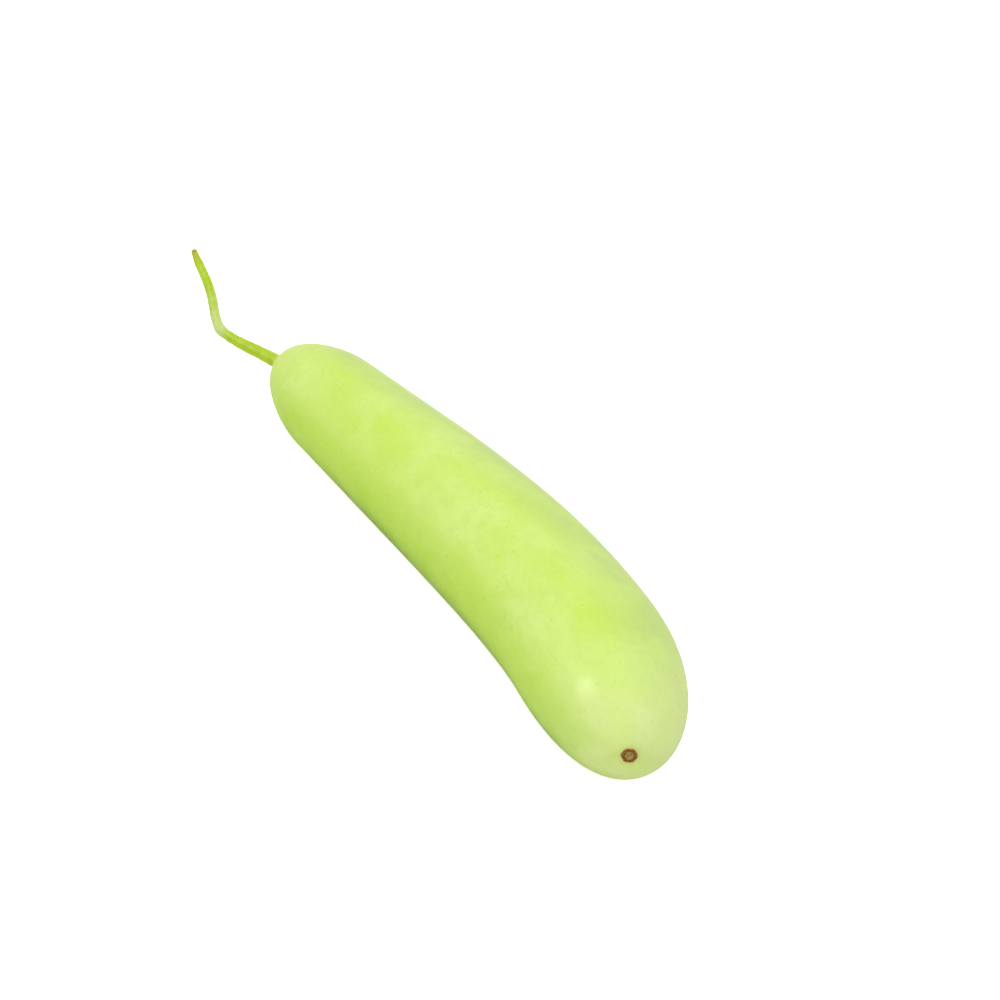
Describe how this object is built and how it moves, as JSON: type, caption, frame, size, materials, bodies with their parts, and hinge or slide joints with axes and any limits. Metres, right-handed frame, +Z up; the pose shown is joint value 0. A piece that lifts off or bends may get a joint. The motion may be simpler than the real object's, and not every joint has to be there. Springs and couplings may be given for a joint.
{
  "type": "bottle gourd",
  "caption": "Long pale-green bottle gourd lying on its side, gently bent, with a kinked stem and a dry blossom scar.",
  "frame": {"origin": "middle of the narrow flat that the fruit rests on, close under its centre of mass", "axes": "+X along the fruit from the stem end to the blossom end, +Z up"},
  "size_m": [0.5414, 0.0838, 0.0757],
  "materials": {
    "gourd_skin": "smooth waxy rind, lime green with soft mottling and a pale bloom",
    "gourd_stem": "ribbed green stalk with fine down, drying to olive brown at its tip",
    "gourd_scar": "dry, cracked corky tissue"
  },
  "bodies": {
    "root": {"fruit": "gourd_skin", "stem": "gourd_stem", "blossom_scar": "gourd_scar"}
  },
  "joints": []
}
